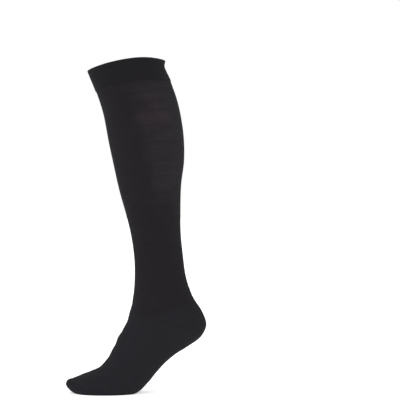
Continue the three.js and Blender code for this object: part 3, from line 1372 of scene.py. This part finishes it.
@dataclass
class StitchRow:
    """A row of small raised stitches that follows a line on the surface.

    line gives places and angles by share of the way along it. lean turns each stitch off the line, in
    radians, and lift is how far out of the surface it lies. bluntness, tip and arch shape the spindle of
    each stitch, and reach is the share of a stitch's spacing over which the line's direction is taken.
    """

    name: str
    slot: Slot
    line: Line
    count: int
    length: float
    thickness: float
    lean: float
    lift: float = 0.0
    sides: int = 6
    rings: int = 5
    line_steps: int = 400
    bluntness: float = 0.6
    tip: float = 0.05
    arch: float = 0.35
    reach: float = 0.2

    def frames(self) -> tuple[np.ndarray, np.ndarray, np.ndarray, np.ndarray]:
        """Spaces the stitches evenly along the line.

        Returns:
            The stitches' centres, the ways out of the surface, the ways that they run and the ways across.
        """
        fine = np.linspace(0, 1, self.line_steps)
        length = lengths_along(FORM.at(*self.line(fine)))
        share = np.interp((np.arange(self.count) + 0.5) / self.count * length[-1], length, fine)
        place, angle = self.line(share)
        normal = FORM.normal(place, angle)
        step = self.reach / self.count
        ahead = FORM.at(*self.line(np.minimum(share + step, 1)))
        along = ahead - FORM.at(*self.line(np.maximum(share - step, 0)))
        along /= np.maximum(np.linalg.norm(along, axis=1, keepdims=True), TINY)
        heading = along * math.cos(self.lean) + np.cross(normal, along) * math.sin(self.lean)
        return FORM.at(place, angle) + normal * self.lift, normal, heading, np.cross(normal, heading)

    def spindle(
        self, centre: np.ndarray, out: np.ndarray, heading: np.ndarray, sideways: np.ndarray
    ) -> list[np.ndarray]:
        """Lays the points of one stitch, a short spindle of thread that arches out of the surface.

        Args:
            centre: its middle.
            out: the way out of the surface.
            heading: the way that it runs.
            sideways: the way across it.

        Returns:
            Its points, ring by ring.
        """
        points = []
        for step in np.linspace(0, math.pi, self.rings):
            swell = math.sin(step) ** self.bluntness if 0 < step < math.pi else self.tip
            radius = self.thickness / 2 * swell
            spine = centre - heading * math.cos(step) * self.length / 2
            spine = spine + out * math.sin(step) * self.thickness * self.arch
            for turn in np.linspace(0, FULL_TURN, self.sides, endpoint=False):
                points.append(spine + (sideways * math.cos(turn) + out * math.sin(turn)) * radius)
        return points

    def spindle_faces(self, first: int) -> list[tuple[int, ...]]:
        """Joins the points of one stitch.

        Args:
            first: the index of its first point.

        Returns:
            The quads round it and the face at each end.
        """
        faces = []
        for ring in range(self.rings - 1):
            base = first + ring * self.sides
            for side in range(self.sides):
                a, b = base + side, base + (side + 1) % self.sides
                faces.append((a, b, b + self.sides, a + self.sides))
        last = first + (self.rings - 1) * self.sides
        faces.append(tuple(range(first + self.sides - 1, first - 1, -1)))
        faces.append(tuple(range(last, last + self.sides)))
        return faces

    def build(self, materials: Materials) -> bpy.types.Object:
        """Lays the stitches along the line as one piece.

        Args:
            materials: the finished materials by name.

        Returns:
            The piece.
        """
        points, faces = [], []
        for frame_of_one in zip(*self.frames()):
            faces += self.spindle_faces(len(points))
            points += self.spindle(*frame_of_one)
        mesh = bpy.data.meshes.new(self.name)
        mesh.from_pydata([tuple(point) for point in points], [], faces)
        mesh.polygons.foreach_set("use_smooth", [True] * len(mesh.polygons))
        mesh.materials.append(materials[THREAD.name])
        piece = bpy.data.objects.new(self.name, mesh)
        bpy.context.scene.collection.objects.link(piece)
        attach(piece, BODY)
        return piece


TOE_SEAM_MIDDLE = ROW["toe_end"] + 0.25
TOE_SEAM_BOW = 0.7  # sections by which the seam draws back at both sides of the toe
TOE_GORE_END = ROW["toe_end"] - 0.5
HEEL_GORE_ANGLES = (89.1, 150)  # degrees from the front
HEM_PLACE = ROW["band_end"] - 0.02


def toe_seam_line(share: np.ndarray) -> tuple[np.ndarray, np.ndarray]:
    """The linked seam, from one side of the toe to the other over its top.

    Args:
        share: shares of the way along it.

    Returns:
        Places and angles on the surface.
    """
    angle = np.interp(share, [0, 1], [-QUARTER_TURN, QUARTER_TURN])
    return TOE_SEAM_MIDDLE - TOE_SEAM_BOW * np.abs(np.sin(angle)) ** 4, angle


def toe_gore_line(side: int) -> Line:
    """The line down one side of the toe where it was narrowed, from the foot to the seam.

    Args:
        side: 1 for the +Y side and -1 for the other.

    Returns:
        A function from a share of the line to places and angles on the surface.
    """
    turn = QUARTER_TURN if side > 0 else THREE_QUARTER_TURN

    def line(share: np.ndarray) -> tuple[np.ndarray, np.ndarray]:
        """Places and angles on the surface, by share of the line."""
        return np.interp(share, [0, 1], [ROW["toes"], TOE_GORE_END]), np.full(np.shape(share), turn)

    return line


def heel_gore_line(side: int) -> Line:
    """The line on one side of the heel where its short rows meet, from the ankle's side towards the tip.

    Args:
        side: 1 for the +Y side and -1 for the other.

    Returns:
        A function from a share of the line to places and angles on the surface.
    """

    def line(share: np.ndarray) -> tuple[np.ndarray, np.ndarray]:
        """The line itself.

        Args:
            share: shares of the way along it.

        Returns:
            Places and angles on the surface.
        """
        turn = np.radians(np.interp(share, [0, 1], HEEL_GORE_ANGLES))
        turn = turn if side > 0 else FULL_TURN - turn
        return heel_places(np.array([GORE]), turn)[0][0], turn

    return line


def hem_line(share: np.ndarray) -> tuple[np.ndarray, np.ndarray]:
    """The line round the tube where the band's inner layer is caught down."""
    return np.full(np.shape(share), HEM_PLACE), share * FULL_TURN


STRETCHES = (
    KnitStretch(
        "leg_knit_tube", "leg", Slot.LEG, LEG_KNIT, "band_end", "heel_start", cut=(0.236, 0.315), rows=170
    ),
    HeelPocket(
        "heel_pocket", "heel", Slot.FOOT, FOOT_KNIT, "heel_start", "heel_end", cut=(0.12, 0.07), rows=72
    ),
    KnitStretch(
        "foot_knit_tube", "foot", Slot.FOOT, FOOT_KNIT, "heel_end", "toes", cut=(0.19, 0.135), rows=84
    ),
    ToeCap("toe_cap", "toe", Slot.FOOT, FOOT_KNIT, "toes", "toe_seam", cut=(0.19, 0.03), rows=48),
)
STITCH_ROWS = (
    StitchRow("toe_seam_stitches", Slot.FOOT, toe_seam_line, 70, 1.5 * MM, 0.55 * MM, lean=0.9),
    StitchRow("toe_gore_far", Slot.FOOT, toe_gore_line(1), 20, 1.4 * MM, 0.5 * MM, lean=0.5),
    StitchRow("toe_gore_near", Slot.FOOT, toe_gore_line(-1), 20, 1.4 * MM, 0.5 * MM, lean=-0.5),
    StitchRow("hem_stitches", Slot.BAND, hem_line, 150, 1.7 * MM, 0.5 * MM, lean=0.9, lift=-1.65 * MM),
    StitchRow("heel_gore_far", Slot.FOOT, heel_gore_line(1), 62, 1.5 * MM, 0.5 * MM, lean=0.5),
    StitchRow("heel_gore_near", Slot.FOOT, heel_gore_line(-1), 62, 1.5 * MM, 0.5 * MM, lean=-0.5),
)


# Studio

COOL = (0.93, 0.96, 1.0)
WARM = (1.0, 0.97, 0.94)


@dataclass(frozen=True)
class Lamp:
    """A soft light turned to a point of the stocking.

    place and aim are in metres, size is the breadth of a disk or the radius of a spot, power is in watts, and
    beam is the spot's angle in degrees.
    """

    name: str
    place: tuple[float, float, float]
    aim: tuple[float, float, float]
    size: float
    power: float
    tint: tuple[float, float, float]
    beam: Optional[float] = None

    def add(self) -> None:
        """Adds the light: a disk, or a spot with a soft edge where it has a beam."""
        data = bpy.data.lights.new(self.name, "AREA" if self.beam is None else "SPOT")
        data.energy = self.power
        data.color = self.tint
        if self.beam is None:
            data.shape = "DISK"
            data.size = self.size
        else:
            data.spot_size = math.radians(self.beam)
            data.spot_blend = 1.0
            data.shadow_soft_size = self.size
        lamp = bpy.data.objects.new(self.name, data)
        lamp.location = self.place
        lamp.rotation_euler = (Vector(self.aim) - Vector(self.place)).to_track_quat("-Z", "Y").to_euler()
        bpy.context.scene.collection.objects.link(lamp)


LAMPS = (
    Lamp("key", (-1.3, -1.6, 0.9), (0.02, 0, -0.24), size=1.4, power=7.0, tint=COOL),
    Lamp("fill", (1.7, -1.2, 0.3), (0.06, 0, -0.15), size=1.2, power=5.0, tint=WARM),
    Lamp("toe light", (-0.9, -1.6, 0.3), (-0.06, -0.02, -0.46), size=0.15, power=40.0, tint=COOL, beam=15),
)


@dataclass(frozen=True)
class Studio:
    """A white floor that runs to a white surround, soft lights and the camera.

    lens and sensor are in millimetres, and sight is how far the camera sees, in metres.
    """

    camera_place: tuple[float, float, float] = (0.1083, -2.5, -0.2023)
    lens: float = 150.0
    sensor: float = 36.0
    sight: float = 200.0
    surround: float = 1.0
    floor_size: float = 60.0
    floor_grey: float = 0.92
    floor_glow: float = 0.45

    def camera(self) -> None:
        """Adds the camera, level and square on to the side of the stocking."""
        data = bpy.data.cameras.new("camera")
        data.lens = self.lens
        data.sensor_width = self.sensor
        data.clip_end = self.sight
        eye = bpy.data.objects.new("camera", data)
        eye.location = self.camera_place
        eye.rotation_euler = (QUARTER_TURN, 0, 0)
        bpy.context.scene.collection.objects.link(eye)
        bpy.context.scene.camera = eye

    def lights(self) -> None:
        """Adds the white surround and the lamps."""
        scene = bpy.context.scene
        scene.view_settings.view_transform = "Standard"
        world = bpy.data.worlds.new("surround")
        world.use_nodes = True
        background = world.node_tree.nodes["Background"]
        background.inputs["Color"].default_value = (1, 1, 1, 1)
        background.inputs["Strength"].default_value = self.surround
        scene.world = world
        for lamp in LAMPS:
            lamp.add()

    def floor(self) -> None:
        """Adds the pale floor that the sole stands on."""
        half = self.floor_size / 2
        corners = [(-half, -half, FLOOR), (half, -half, FLOOR), (half, half, FLOOR), (-half, half, FLOOR)]
        mesh = bpy.data.meshes.new("floor")
        mesh.from_pydata(corners, [], [(0, 1, 2, 3)])
        ground = bpy.data.objects.new("floor", mesh)
        bpy.context.scene.collection.objects.link(ground)
        material, sheet = new_material("white floor")
        feed_shader(
            sheet,
            Base_Color=(self.floor_grey, self.floor_grey, self.floor_grey, 1),
            Roughness=1.0,
            Specular_IOR_Level=0.0,
            Emission_Color=(1, 1, 1, 1),
            Emission_Strength=self.floor_glow,
        )
        mesh.materials.append(material)


def main() -> None:
    """Builds the camera, the stocking's pieces and the studio, and reports each piece."""
    logging.basicConfig(level=logging.INFO, format="%(message)s")
    studio = Studio()
    studio.camera()
    materials = {finish.name: finish.material() for finish in FINISHES}
    for part in (TopBand(), *STRETCHES, *STITCH_ROWS):
        piece = part.build(materials)
        log.info("%s: %d faces", piece.name, len(piece.data.polygons))
    studio.lights()
    studio.floor()


if __name__ == "__main__":
    main()
